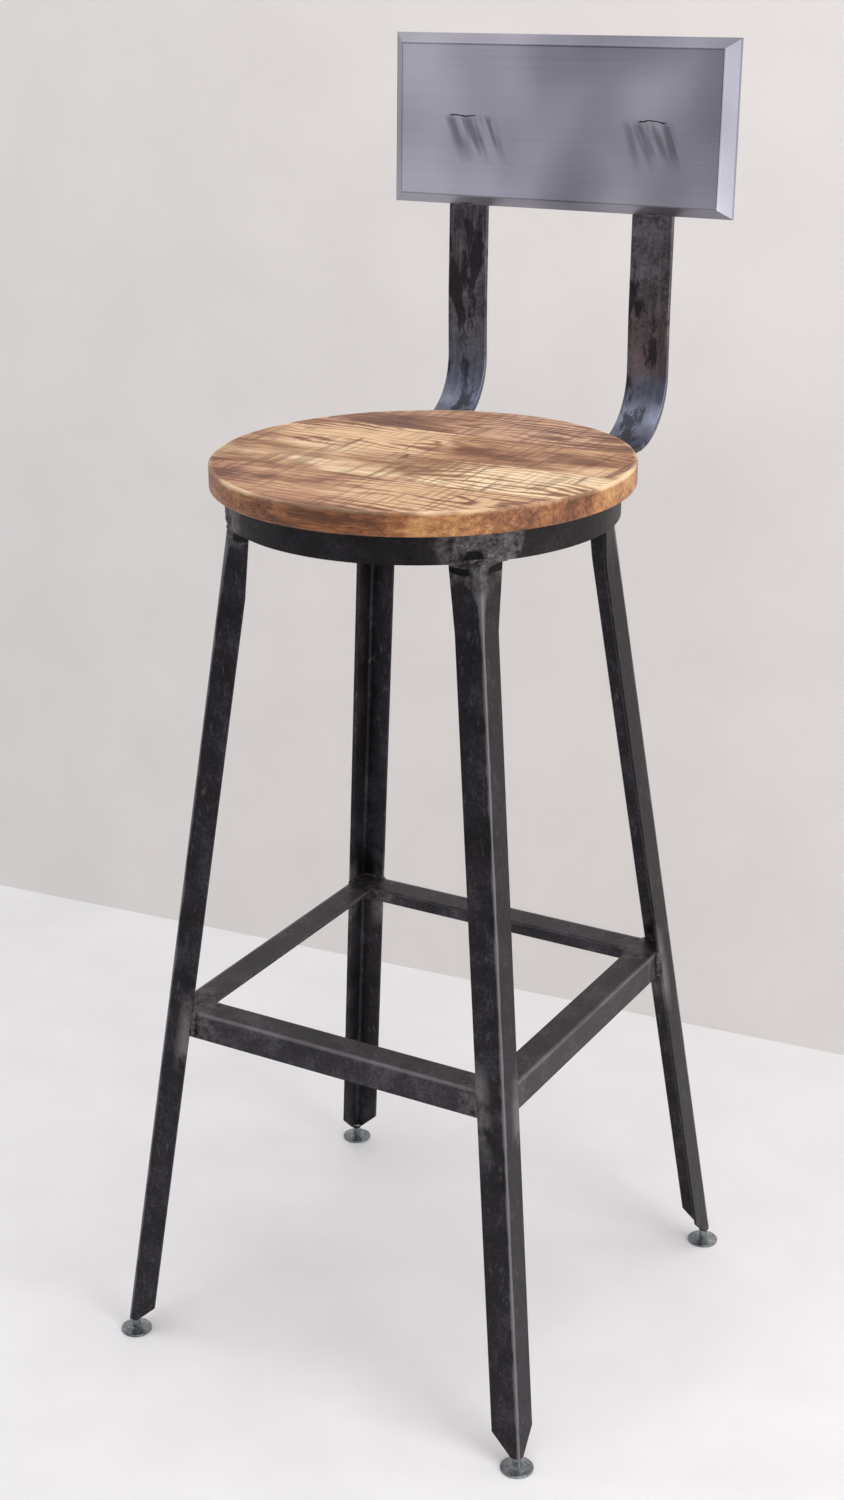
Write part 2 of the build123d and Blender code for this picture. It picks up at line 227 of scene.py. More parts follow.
def rail_steel(tree):
    """Hot-rolled angle iron with its mill scale left on, mottled charcoal. The mitres are ground grey, and
    shoes have worn the outer top edge pale."""
    place, across, along, height = folded(tree)
    colour, clouds, flecks = mill_scale(tree, place, 4.0,
                                        [(0.36, "#252327"), (0.5, "#3a373c"), (0.64, "#5a575d")])
    mitre = corner_share(tree, across, along, rest_half - 10 * MM, MITRE_GROUND, clouds)
    colour = bare_patch(tree, colour, add(tree, "Math", {0: mitre, 1: 0.6}, operation="MULTIPLY"), flecks)
    outer = add(tree, "Math", {0: across, 1: along}, operation="MAXIMUM")
    gap = add(tree, "Math", {0: rest_half + rest_top, 1: add(tree, "Math", {0: outer, 1: height})},
              operation="SUBTRACT")
    worn = add(tree, "MapRange", {"Value": gap, "From Min": 3.2 * MM, "From Max": 1.0 * MM})
    worn = add(tree, "Math", {0: worn, 1: clouds}, operation="MULTIPLY")
    colour = add(tree, "Mix", {0: worn, 6: colour, 7: linear("#8f8c90")}, out=2, data_type="RGBA")
    rough = add(tree, "MapRange", {"Value": clouds, "From Min": 0.3, "From Max": 0.7,
                                   "To Min": 0.36, "To Max": 0.56})
    return colour, rough, flecks


def shaded_moon(tree, colour, across, along, height, flecks):
    """Half-moon left open in the weld over each leg, 20 mm wide and 8 mm high, flat side down, with painted
    shade filling its hollow.
    """
    aside = add(tree, "Math", {0: across, 1: along}, operation="SUBTRACT")
    aside = add(tree, "Math", {0: aside, 1: 7 * MM})
    aside = add(tree, "Math", {0: aside, 1: 1 / (13 * MM)}, operation="MULTIPLY")
    above = add(tree, "Math", {0: height, 1: ring_low.z + 2 * MM}, operation="SUBTRACT")
    above = add(tree, "Math", {0: above, 1: 1 / (8 * MM)}, operation="MULTIPLY")
    oval = add(tree, "VectorMath", {0: add(tree, "CombineXYZ", {"X": aside, "Y": above})}, out="Value",
               operation="LENGTH")
    oval = add(tree, "Math", {0: flecks, 1: -1.1, 2: add(tree, "Math", {0: oval, 1: 0.55})},
               operation="MULTIPLY_ADD")
    moon_shade = add(tree, "MapRange", {"Value": oval, "From Min": 1.05, "From Max": 0.92})
    flat_side = add(tree, "MapRange", {"Value": above, "From Min": 0.0, "From Max": 0.12})
    moon_shade = add(tree, "Math", {0: moon_shade, 1: flat_side}, operation="MULTIPLY")
    # only over a leg, not where the hoop crosses a middle plane
    close = add(tree, "MapRange", {"Value": across, "From Min": 70 * MM, "From Max": 80 * MM})
    moon_shade = add(tree, "Math", {0: moon_shade, 1: close}, operation="MULTIPLY")
    colour = add(tree, "Mix", {0: moon_shade, 6: colour, 7: linear("#0b0a0b")}, out=2, data_type="RGBA")
    return colour, moon_shade


def hoop_steel(tree):
    """Hot-rolled flat bar, rolled to a hoop with its scale on: nearly black and even. It is ground over
    each leg, where a half-moon of the weld is left open and painted dark as shade."""
    place, across, along, height = folded(tree)
    colour, clouds, flecks = mill_scale(tree, place, 9.0,
                                        [(0.36, "#161416"), (0.5, "#252225"), (0.64, "#3a373b")])
    ground = corner_share(tree, across, along, heel_top, HOOP_GROUND, clouds)
    colour = bare_patch(tree, colour, add(tree, "Math", {0: ground, 1: 0.8}, operation="MULTIPLY"), flecks)
    # the open half-moon's hollow is painted near-black as shade
    colour, moon_shade = shaded_moon(tree, colour, across, along, height, flecks)
    rough = add(tree, "MapRange", {"Value": clouds, "From Min": 0.3, "From Max": 0.7,
                                   "To Min": 0.38, "To Max": 0.58})
    relief = add(tree, "Math", {0: flecks, 1: moon_shade}, operation="SUBTRACT")
    return colour, rough, relief


def bar_steel(tree):
    """Hot-rolled flat bar, bent cold and rubbed with a wheel: dark islands of scale, 23 mm wide and 67 mm
    long, on streaked grey-brown steel that shines more than the legs."""
    place = add(tree, "TexCoord", out="Object")
    colour, _, flecks = mill_scale(tree, place, 14.0,
                                   [(0.36, "#37333a"), (0.5, "#5b565b"), (0.66, "#86818a")])
    stretched = add(tree, "Mapping", {"Vector": place, "Scale": (330, 30, 22)})
    streaks = add(tree, "TexNoise", {"Vector": stretched, "Scale": 1.0, "Detail": 3.0})
    share = add(tree, "MapRange", {"Value": streaks, "From Min": 0.5, "From Max": 0.7, "To Max": 0.4})
    colour = add(tree, "Mix", {0: share, 6: colour, 7: linear("#8d8688")}, out=2, data_type="RGBA")
    drawn = add(tree, "Mapping", {"Vector": place, "Scale": (44, 30, 15)})
    islands = add(tree, "TexNoise", {"Vector": drawn, "W": 3.0, "Scale": 1.0, "Detail": 5.0,
                                     "Roughness": 0.62}, noise_dimensions="4D")
    share = add(tree, "MapRange", {"Value": islands, "From Min": 0.52, "From Max": 0.57, "To Max": 0.85})
    # painted highlight: the bend is painted bright with a blue cast, a painted reflection of the light
    # above
    height = add(tree, "SeparateXYZ", {0: place}, out="Z")
    bend_top, bend_mid = seat_high.z + 75 * MM, seat_high.z + 5 * MM
    bent = add(tree, "MapRange", {"Value": height, "From Min": bend_top, "From Max": bend_mid,
                                  "To Max": 0.5})
    colour = add(tree, "Mix", {0: bent, 6: colour, 7: linear("#717b92")}, out=2, data_type="RGBA")
    # the scale islands fade under the painted highlight
    islands_fainter_in_highlight = add(tree, "MapRange", {"Value": bent, "To Min": 1.0, "To Max": 0.8})
    share = add(tree, "Math", {0: share, 1: islands_fainter_in_highlight}, operation="MULTIPLY")
    colour = add(tree, "Mix", {0: share, 6: colour, 7: linear("#252227")}, out=2, data_type="RGBA")
    rough = add(tree, "MapRange", {"Value": islands, "From Min": 0.4, "From Max": 0.6,
                                   "To Min": 0.28, "To Max": 0.46})
    return colour, rough, add(tree, "Mix", {0: 0.5, 2: flecks, 3: streaks})


def weld_steel(tree):
    """Steel weld, run by hand and wire-brushed: silver-grey tops with soot left in the hollows."""
    place, across, along, height = folded(tree)
    colour, _, flecks = mill_scale(tree, place, 21.0,
                                   [(0.4, "#262325"), (0.5, "#575354"), (0.62, "#8f8b8c")])
    rough = add(tree, "MapRange", {"Value": flecks, "From Min": 0.3, "From Max": 0.7,
                                   "To Min": 0.34, "To Max": 0.6})
    # the open half-moon's hollow is painted near-black as shade here too
    colour, moon_shade = shaded_moon(tree, colour, across, along, height, flecks)
    return colour, rough, add(tree, "Math", {0: flecks, 1: moon_shade}, operation="SUBTRACT")


def panel_steel(tree):
    """Cold-rolled steel sheet: satin blue-grey, cloudy from handling, with rolling lines along its length,
    two heat lines from the welds behind it and a rubbed patch under each."""
    place = add(tree, "TexCoord", out="Object")
    axis = add(tree, "SeparateXYZ", {0: place}).node.outputs
    across = add(tree, "Math", {0: axis["X"]}, operation="ABSOLUTE")
    side = add(tree, "Math", {0: axis["X"]}, operation="SIGN")
    wide_clouds = add(tree, "Mapping", {"Vector": place, "Scale": (7, 7, 5)})
    clouds = add(tree, "TexNoise", {"Vector": wide_clouds, "W": 2.6, "Scale": 1.0, "Detail": 2.0,
                                    "Roughness": 0.5}, noise_dimensions="4D")
    # the sheet's colour is darker towards its right end
    tone = add(tree, "Math", {0: axis["X"], 1: 0.95, 2: clouds}, operation="MULTIPLY_ADD")
    # rolling lines 1 mm apart, because the real 0.1 mm is too fine to show
    lines = add(tree, "Mapping", {"Vector": place, "Scale": (6, 900, 900)})
    rolled = add(tree, "TexNoise", {"Vector": lines, "Scale": 1.0, "Detail": 2.0})
    tone = add(tree, "Math", {0: rolled, 1: 0.07, 2: tone}, operation="MULTIPLY_ADD")
    colour = add(tree, "ValToRGB", {"Fac": tone},
                 stops=[(0.38, "#dad8e5"), (0.55, "#abaab8"), (0.74, "#6d727b")])
    # both marks lie over a support bar: aside and above are measured from the heat line's middle
    aside = add(tree, "Math", {0: across, 1: bar_x + 1 * MM}, operation="SUBTRACT")
    above = add(tree, "Math", {0: axis["Z"], 1: (panel_low.z + panel_high.z) / 2 + 5 * MM},
                operation="SUBTRACT")
    # strokes 9 mm apart in a leaning patch that reaches about 40 mm down
    leant = add(tree, "Math", {0: above, 1: STROKE_LEAN, 2: axis["X"]}, operation="MULTIPLY_ADD")
    slant = add(tree, "Mapping", {"Vector": add(tree, "CombineXYZ", {"X": leant, "Y": above}),
                                  "Scale": (110, 14, 1)})
    strokes = add(tree, "TexNoise", {"Vector": slant, "Scale": 1.0, "Detail": 3.0})
    lean = add(tree, "Math", {0: above, 1: STROKE_LEAN}, operation="MULTIPLY")
    lean = add(tree, "Math", {0: lean, 1: side, 2: aside}, operation="MULTIPLY_ADD")
    lean = add(tree, "Math", {0: add(tree, "Math", {0: lean, 1: 6 * MM})}, operation="ABSOLUTE")
    reach = add(tree, "MapRange", {"Value": lean, "From Min": RUBBED, "From Max": RUBBED - 7 * MM})
    below = add(tree, "MapRange", {"Value": above, "From Min": -42 * MM, "From Max": -22 * MM})
    under = add(tree, "MapRange", {"Value": above, "From Min": 1 * MM, "From Max": -4 * MM})
    rubbed = add(tree, "Math", {0: add(tree, "Math", {0: reach, 1: below}, operation="MULTIPLY"), 1: under},
                 operation="MULTIPLY")
    strokes = add(tree, "MapRange", {"Value": strokes, "From Min": 0.42, "From Max": 0.56, "To Max": 0.6})
    rubbed = add(tree, "Math", {0: rubbed, 1: strokes}, operation="MULTIPLY")
    colour = add(tree, "Mix", {0: rubbed, 6: colour, 7: linear("#5f5c66")}, out=2, data_type="RGBA")
    # painted shade: the lips are painted darker, with a dark line along each fold and along the side lips'
    # outer edges
    fold_top, fold_bottom = panel_high.z - TOP_LIP, panel_low.z + BOTTOM_LIP
    beyond = add(tree, "Math", {0: across, 1: panel_high.x - SIDE_LIP}, operation="SUBTRACT")
    upright = add(tree, "Math", {0: axis["Z"], 1: (fold_top + fold_bottom) / 2}, operation="SUBTRACT")
    upright = add(tree, "Math", {0: upright}, operation="ABSOLUTE")
    upright = add(tree, "Math", {0: upright, 1: (fold_top - fold_bottom) / 2}, operation="SUBTRACT")
    beyond = add(tree, "Math", {0: beyond, 1: upright}, operation="MAXIMUM")
    lip = add(tree, "MapRange", {"Value": beyond, "From Min": 0.0, "From Max": 1.5 * MM, "To Max": 0.5})
    colour = add(tree, "Mix", {0: lip, 6: colour, 7: linear("#5b5a64")}, out=2, data_type="RGBA")
    # painted shade in the folds and at the sheet's side edges
    fold_shade = add(tree, "Math", {0: beyond, 1: 0.0, 2: 0.9 * MM}, operation="COMPARE")
    edge_shade = add(tree, "Math", {0: across, 1: panel_high.x, 2: 1.2 * MM}, operation="COMPARE")
    fold_shade = add(tree, "Math", {0: fold_shade, 1: edge_shade}, operation="MAXIMUM")
    fold_shade = add(tree, "Math", {0: fold_shade, 1: clouds}, operation="MULTIPLY")
    colour = add(tree, "Mix", {0: fold_shade, 6: colour, 7: linear("#34313a")}, out=2, data_type="RGBA")
    # heat line 1 mm thick, wavering every 13 mm
    waver = add(tree, "TexNoise", {"Vector": place, "Scale": 75.0, "Detail": 2.0})
    line = add(tree, "Math", {0: waver, 1: 9 * MM, 2: -4.5 * MM}, operation="MULTIPLY_ADD")
    line = add(tree, "Math", {0: add(tree, "Math", {0: above, 1: line}, operation="SUBTRACT")},
               operation="ABSOLUTE")
    line = add(tree, "MapRange", {"Value": line, "From Min": 0.95 * MM, "From Max": 0.35 * MM})
    wide = add(tree, "Math", {0: aside}, operation="ABSOLUTE")
    short = add(tree, "MapRange", {"Value": wide, "From Min": HEAT_LINE, "From Max": HEAT_LINE - 3 * MM})
    line = add(tree, "Math", {0: line, 1: short}, operation="MULTIPLY")
    colour = add(tree, "Mix", {0: line, 6: colour, 7: linear("#141216")}, out=2, data_type="RGBA")
    rough = add(tree, "MapRange", {"Value": clouds, "From Min": 0.3, "From Max": 0.7,
                                   "To Min": 0.34, "To Max": 0.46})
    relief = add(tree, "Math", {0: rolled, 1: 0.1}, operation="MULTIPLY")
    relief = add(tree, "Math", {0: relief, 1: line}, operation="SUBTRACT")
    return colour, rough, relief


def disc_steel(tree):
    """Turned steel, blackened by heat: smooth and shiny, with a faint green-blue cast."""
    place = add(tree, "TexCoord", out="Object")
    colour, clouds, flecks = mill_scale(tree, place, 27.0,
                                        [(0.36, "#4b5052"), (0.5, "#7f8588"), (0.64, "#b3b9bb")])
    rough = add(tree, "MapRange", {"Value": clouds, "From Min": 0.3, "From Max": 0.7,
                                   "To Min": 0.2, "To Max": 0.36})
    return colour, rough, flecks


def screw_zinc(tree):
    """Zinc-plated steel, dulled by handling: pale and even, with 2.5 mm clouds."""
    place = add(tree, "TexCoord", out="Object")
    cloudy = add(tree, "TexNoise", {"Vector": place, "Scale": 400.0, "Detail": 2.0})
    colour = add(tree, "ValToRGB", {"Fac": cloudy}, stops=[(0.3, "#9d9b92"), (0.7, "#cbc9c0")])
    rough = add(tree, "MapRange", {"Value": cloudy, "To Min": 0.28, "To Max": 0.42})
    return colour, rough, cloudy


def mango_board(number, dark, mid, pale, heart, lift):
    """Mango wood, band-sawn across and lightly sanded: flame grain under fine saw lines and a few deep
    ones. The rim was sanded smooth and lacquered, so it is warmer, with a pale top corner that is partly
    rubbed and partly a painted highlight.
    heart is where the flame's middle lies along the board, lift how far the log's heart is off the face."""
    low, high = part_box(f"seat_board_{number}")

    def build(tree):
        place = add(tree, "TexCoord", out="Object")
        axis = add(tree, "SeparateXYZ", {0: place}).node.outputs
        # growth rings 8 mm apart round a log axis tilted by one in six: long ovals on the face
        middle = (heart, (low.y + high.y) / 2 + lift, seat_high.z)
        centred = add(tree, "VectorMath", {0: place, 1: middle}, operation="SUBTRACT")
        long_waves = add(tree, "Mapping", {"Vector": place, "Scale": (7, 24, 24)})
        bend = add(tree, "TexNoise", {"Vector": long_waves, "W": 1.3 * number, "Scale": 1.0, "Detail": 3.0},
                   out="Color", noise_dimensions="4D")
        bend = add(tree, "VectorMath", {0: bend, 1: (0.5, 0.5, 0.5)}, operation="SUBTRACT")
        bend = add(tree, "VectorMath", {0: bend, 1: (0.0, 0.055, 0.055)}, operation="MULTIPLY")
        bent = add(tree, "VectorMath", {0: centred, 1: bend}, operation="ADD")
        bent = add(tree, "Mapping", {"Vector": bent, "Rotation": (0, math.atan(1 / 6), 0)})
        rings = add(tree, "TexWave", {"Vector": bent, "Scale": 38.0, "Distortion": 0.6, "Detail": 2.0,
                                   "Detail Scale": 2.0}, out="Fac", wave_type="RINGS", rings_direction="X")
        # broad bands of tone 33 mm wide
        bands = add(tree, "Mapping", {"Vector": place, "Scale": (9, 30, 30)})
        broad = add(tree, "TexNoise", {"Vector": bands, "W": 3.7 * number, "Scale": 1.0, "Detail": 4.0},
                    noise_dimensions="4D")
        # fibres 1 mm thick and 16 mm long
        fibres = add(tree, "Mapping", {"Vector": place, "Scale": (60, 1000, 1000)})
        fibre = add(tree, "TexNoise", {"Vector": fibres, "Scale": 1.0, "Detail": 3.0})
        # darker streaks 4 mm thick and 50 mm long
        streaks = add(tree, "Mapping", {"Vector": place, "Scale": (20, 260, 260)})
        streak = add(tree, "TexNoise", {"Vector": streaks, "W": 2.9 * number, "Scale": 1.0, "Detail": 4.0,
                                        "Roughness": 0.6}, noise_dimensions="4D")
        # the rings are plainest within 30 mm of the flame's middle and faint from 100 mm
        away = add(tree, "VectorMath", {0: centred}, out="Value", operation="LENGTH")
        plain = add(tree, "MapRange", {"Value": away, "From Min": 100 * MM, "From Max": 30 * MM,
                                       "To Min": 0.08, "To Max": 0.46}, interpolation_type="SMOOTHSTEP")
        tone = add(tree, "Math", {0: rings, 1: plain, 2: broad}, operation="MULTIPLY_ADD")
        tone = add(tree, "Math", {0: streak, 1: 0.5, 2: tone}, operation="MULTIPLY_ADD")
        tone = add(tree, "Math", {0: fibre, 1: 0.3, 2: tone}, operation="MULTIPLY_ADD")
        tone = add(tree, "MapRange", {"Value": tone, "From Min": 0.76, "From Max": 1.24})
        colour = add(tree, "ValToRGB", {"Fac": tone}, stops=[(0.1, dark), (0.45, mid), (0.85, pale)])
        # saw lines that come and go in patches, drawn 3.5 mm apart because the real 1.5 mm is too
        # fine to show
        skew = add(tree, "Mapping", {"Vector": place, "Rotation": (0, 0, 0.05 * (number - 2.4)),
                                     "Scale": (1, 0.05, 0.05)})
        fine = add(tree, "TexNoise", {"Vector": skew, "Scale": 290.0, "Detail": 1.0})
        fine = add(tree, "MapRange", {"Value": fine, "From Min": 0.5, "From Max": 0.6})
        patch = add(tree, "TexNoise", {"Vector": place, "W": 1.9 * number, "Scale": 20.0, "Detail": 1.0},
                    noise_dimensions="4D")
        patch = add(tree, "MapRange", {"Value": patch, "From Min": 0.4, "From Max": 0.52})
        fine = add(tree, "Math", {0: fine, 1: patch}, operation="MULTIPLY")
        # deep scores, up to 50 mm long and under 1 mm wide
        deep = add(tree, "TexNoise", {"Vector": skew, "W": 5.3 * number, "Scale": 44.0, "Detail": 0.5},
                   noise_dimensions="4D")
        deep = add(tree, "Math", {0: deep, 1: 0.5, 2: 0.007}, operation="COMPARE")
        stray = add(tree, "TexNoise", {"Vector": place, "W": 7.1 * number, "Scale": 19.0, "Detail": 1.0},
                    noise_dimensions="4D")
        stray = add(tree, "MapRange", {"Value": stray, "From Min": 0.5, "From Max": 0.58})
        deep = add(tree, "Math", {0: deep, 1: stray}, operation="MULTIPLY")
        cut = add(tree, "Math", {0: add(tree, "Math", {0: fine, 1: 0.6}, operation="MULTIPLY"), 1: deep},
                  operation="MAXIMUM")
        # only the flat top is sawn; the rim is sanded
        upward = add(tree, "SeparateXYZ", {0: add(tree, "TexCoord", out="Normal")}, out="Z")
        sawn = add(tree, "MapRange", {"Value": upward, "From Min": 0.8, "From Max": 0.98})
        cut = add(tree, "Math", {0: cut, 1: sawn}, operation="MULTIPLY")
        colour = add(tree, "Mix", {0: add(tree, "Math", {0: cut, 1: 0.7}, operation="MULTIPLY"), 6: colour,
                                   7: linear("#55301c")}, out=2, data_type="RGBA")
        rim_tone = add(tree, "Math", {0: streak, 1: 0.7, 2: broad}, operation="MULTIPLY_ADD")
        rim_tone = add(tree, "Math", {0: fibre, 1: 0.4, 2: rim_tone}, operation="MULTIPLY_ADD")
        rim_tone = add(tree, "MapRange", {"Value": rim_tone, "From Min": 0.78, "From Max": 1.32})
        rim = add(tree, "ValToRGB", {"Fac": rim_tone},
                  stops=[(0.15, "#5d351c"), (0.48, "#965d36"), (0.85, "#c8965f")])
        colour = add(tree, "Mix", {0: sawn, 6: rim, 7: colour}, out=2, data_type="RGBA")
        # pale top corner, 3 mm wide: partly rubbed wear, partly a painted highlight along the edge
        plan = add(tree, "CombineXYZ", {"X": axis["X"], "Y": add(tree, "Math", {0: axis["Y"], 1: seat_y},
                   operation="SUBTRACT")})
        radius = add(tree, "VectorMath", {0: plan}, out="Value", operation="LENGTH")
        gap = add(tree, "Math", {0: seat_r + seat_high.z, 1: add(tree, "Math", {0: radius, 1: axis["Z"]})},
                  operation="SUBTRACT")
        worn = add(tree, "MapRange", {"Value": gap, "From Min": 3.6 * MM, "From Max": 1.6 * MM})
        places = add(tree, "MapRange", {"Value": broad, "From Min": 0.44, "From Max": 0.6,
                                        "To Min": 0.12, "To Max": 0.75})
        worn = add(tree, "Math", {0: worn, 1: places}, operation="MULTIPLY")
        colour = add(tree, "Mix", {0: worn, 6: colour, 7: linear("#f0d3ac")}, out=2, data_type="RGBA")
        # painted shade within 1 mm of the glued seams
        half = (high.y - low.y) / 2
        off_mid = add(tree, "Math", {0: axis["Y"], 1: (low.y + high.y) / 2}, operation="SUBTRACT")
        off_mid = add(tree, "Math", {0: off_mid}, operation="ABSOLUTE")
        seam_shade = add(tree, "MapRange", {"Value": off_mid, "From Min": half - 1.0 * MM,
                                      "From Max": half - 0.3 * MM, "To Max": 0.55})
        seam_shade = add(tree, "Math", {0: seam_shade, 1: add(tree, "MapRange", {"Value": broad, "From Min": 0.35})},
                   operation="MULTIPLY")
        colour = add(tree, "Mix", {0: seam_shade, 6: colour, 7: linear("#4d2d1b")}, out=2, data_type="RGBA")
        rough = add(tree, "MapRange", {"Value": sawn, "To Min": 0.42, "To Max": 0.6})
        relief = add(tree, "Math", {0: fibre, 1: 0.15}, operation="MULTIPLY")
        relief = add(tree, "Math", {0: relief, 1: cut}, operation="SUBTRACT")
        return colour, rough, relief

    return surface(f"mango_board_{number}", build, 0.4 * MM, IOR=1.5, Metallic=0.0)


legs_finish = surface("hot_rolled_angle_legs", leg_steel, 0.12 * MM, Metallic=0.75)
rails_finish = surface("hot_rolled_angle_footrest", rail_steel, 0.12 * MM, Metallic=0.75)
hoop_finish = surface("hot_rolled_flat_hoop", hoop_steel, 0.25 * MM, Metallic=0.75)
bars_finish = surface("rubbed_flat_bar", bar_steel, 0.1 * MM, Metallic=0.9)
weld_finish = surface("brushed_weld", weld_steel, 0.25 * MM, Metallic=0.8)
panel_finish = surface("cold_rolled_sheet", panel_steel, 0.12 * MM, Metallic=1.0)
disc_finish = surface("heat_blackened_disc", disc_steel, 0.06 * MM, Metallic=0.9)
screw_finish = surface("zinc_screw", screw_zinc, 0.03 * MM, Metallic=1.0)
boards_finish = [
    mango_board(1, "#633825", "#a07253", "#d0aa83", 0.07, 16 * MM),
    mango_board(2, "#835838", "#bd9670", "#e6cda8", 0.11, -22 * MM),
    mango_board(3, "#6d4128", "#ab7f5c", "#d8b48d", -0.07, 2 * MM),
    mango_board(4, "#573425", "#90654a", "#c0977a", 0.05, -12 * MM),
]

finishes = {f"seat_board_{i + 1}": board for i, board in enumerate(boards_finish)}
finishes |= {"seat_ring": hoop_finish, "back_panel": panel_finish, "seat_screws": screw_finish}
finishes |= {"leg_": legs_finish, "footrest_": rails_finish, "foot_": disc_finish,
             "back_support": bars_finish}

for name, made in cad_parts.items():
    finish = next(finishes[start] for start in finishes if name.startswith(start))
    made.data.materials.clear()
    made.data.materials.append(finish)


# Welds. Each is a closed mesh whose root lies inside the steel it joins.


def weld_piece(name, points, faces):
    """Makes a smooth piece of weld that rides on the frame."""
    mesh = bpy.data.meshes.new(name)
    mesh.from_pydata(points, [], faces)
    mesh.materials.append(weld_finish)
    mesh.polygons.foreach_set("use_smooth", [True] * len(mesh.polygons))
    piece = bpy.data.objects.new(name, mesh)
    bpy.context.scene.collection.objects.link(piece)
    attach(piece, "root")


def bead(name, path, thick, seed):
    """Hand-run bead of radius thick along path: lumpy, rippled, and swelling from both ends."""
    step = 0.8 * MM
    ripple_gap = 2.6 * MM
    sides = 12
    spots = []
    for start, end in zip(path, path[1:]):
        count = max(1, round((end - start).length / step))
        spots += [start.lerp(end, i / count) for i in range(count)]
    spots.append(path[-1])
    last = len(spots) - 1
    points, faces = [], []
    for i, spot in enumerate(spots):
        ahead = (spots[min(i + 1, last)] - spots[max(i - 1, 0)]).normalized()
        side = ahead.cross(Vector((0.35, 0.21, 0.91))).normalized()
        up = ahead.cross(side)
        swell = min(1.0, 0.25 + math.sqrt(min(i, last - i) * step / (1.6 * thick)))
        ripple = 0.84 + 0.22 * abs(math.sin(math.pi * i * step / ripple_gap))
        for k in range(sides):
            turn = 2 * math.pi * k / sides
            out = side * math.cos(turn) + up * math.sin(turn)
            lump = 1 + 0.35 * noise.noise(spot * 260 + out * 0.6 + Vector((seed * 3.1, seed, 0)))
            points.append(spot + out * thick * swell * ripple * lump)
    for i in range(last):
        for k in range(sides):
            a, b = i * sides + k, i * sides + (k + 1) % sides
            faces.append((a, b, b + sides, a + sides))
    faces.append(tuple(reversed(range(sides))))
    faces.append(tuple(range(last * sides, (last + 1) * sides)))
    weld_piece(name, points, faces)


def mound(name, spot, wide, tall, height, seed):
    """Built-up weld, ground low: a ragged mound on the surface that spot(u, v) gives with its normal."""
    cell = 1.2 * MM
    root = -0.9 * MM  # the underside, inside the steel
    sunk = 0.25 * MM  # the thinnest parts dip below the surface, which makes the edge ragged
    cols, rows = round(wide / cell), round(tall / cell)
    points, faces = [], []
    for layer in range(2):
        for j in range(rows + 1):
            for i in range(cols + 1):
                u, v = 2 * i / cols - 1, 2 * j / rows - 1
                place, out = spot(u * wide / 2, v * tall / 2)
                rough = noise.noise(place * 140 + Vector((0, seed, 0))) + 0.6 * noise.noise(place * 420)
                rise = height * (0.75 + 0.9 * rough) * (1 - max(abs(u), abs(v)) ** 4) - sunk
                on_rim = i in (0, cols) or j in (0, rows)
                rise = root * 0.5 if on_rim else max(rise, root * 0.4)
                points.append(place + out * (rise if layer == 0 else root))
    row, sheet = cols + 1, (cols + 1) * (rows + 1)
    for j in range(rows):
        for i in range(cols):
            a = j * row + i
            faces.append((a, a + 1, a + row + 1, a + row))
            faces.append((a + sheet, a + sheet + row, a + sheet + row + 1, a + sheet + 1))
    rim = [i for i in range(cols)] + [j * row + cols for j in range(rows)]
    rim += [rows * row + cols - i for i in range(cols)] + [(rows - j) * row for j in range(rows)]
    for a, b in zip(rim, rim[1:] + rim[:1]):
        faces.append((b, a, a + sheet, b + sheet))
    weld_piece(name, points, faces)


def in_corner(corner, x, y, z):
    """Point at distances x and y from the stool's middle planes, in one of its four corners."""
    sx, sy = CORNERS[corner]
    return Vector((sx * x, seat_y + sy * y, z))


middle = Vector((0, seat_y, 0))
disc_mid = (disc_low.x + disc_high.x) / 2
for number, (corner, (sx, sy)) in enumerate(CORNERS.items()):
    outward = Vector((sx, sy, 0)).normalized()

    def at_hoop(u, v):
        """Point and normal on the hoop's outside, u round from the leg and v up from 8 mm over its edge."""
        out = Matrix.Rotation(u / ring_r, 3, "Z") @ outward
        return middle + out * ring_r + Vector((0, 0, ring_low.z + 8 * MM + v)), out

    # weld under the hoop, over the heel and along both opened leaves
    top = middle + outward * (ring_r + LEG_PROUD) + Vector((0, 0, ring_low.z - 0.4 * MM))
    turns = [Matrix.Rotation(side * (math.pi - OPENED_HALF), 3, "Z") for side in (-1, 1)]
    start, end = (top + turn @ outward * 21 * MM for turn in turns)
    bead(f"weld_hoop_{corner}", [start, top - outward * 1.4 * MM, end], 2.1 * MM, number + 1)
    mound(f"weld_ground_{corner}", at_hoop, 46 * MM, 18 * MM, 1.1 * MM, number * 2.3 + 5)

    # footrest: one bead on top inside the leg, and one down each leaf's edge
    inner = heel(rest_top) - WALL
    toe = heel(rest_top) - LEAF
    root = inner - 0.4 * MM
    path = [in_corner(corner, x, y, rest_top) for x, y in ((inner, toe), (root, root), (toe, inner))]
    bead(f"weld_rest_top_{corner}", path, 1.5 * MM, number + 11)
    foot_z = rail_low.z + 1.5 * MM
    for way in ("x", "y"):
        high = (rest_half + 1.0 * MM, toe - 0.9 * MM)
        low = (rest_half + 1.4 * MM, heel(foot_z) - LEAF - 0.9 * MM)
        if way == "y":
            high, low = high[::-1], low[::-1]
        path = [in_corner(corner, *high, rest_top + 0.5 * MM), in_corner(corner, *low, foot_z)]
        bead(f"weld_rest_{way}_{corner}", path, 2.7 * MM, number + 17)

    # foot: bead round the stem in the corner of the leg's cut end
    turns = [math.radians(-190 + 14 * i) for i in range(15)]
    path = [in_corner(corner, disc_mid + STEM_R * math.cos(turn), disc_mid + STEM_R * math.sin(turn),
                      leg_low.z + STEM_CUT) for turn in turns]
    bead(f"weld_stem_{corner}", path, 1.3 * MM, number + 31)

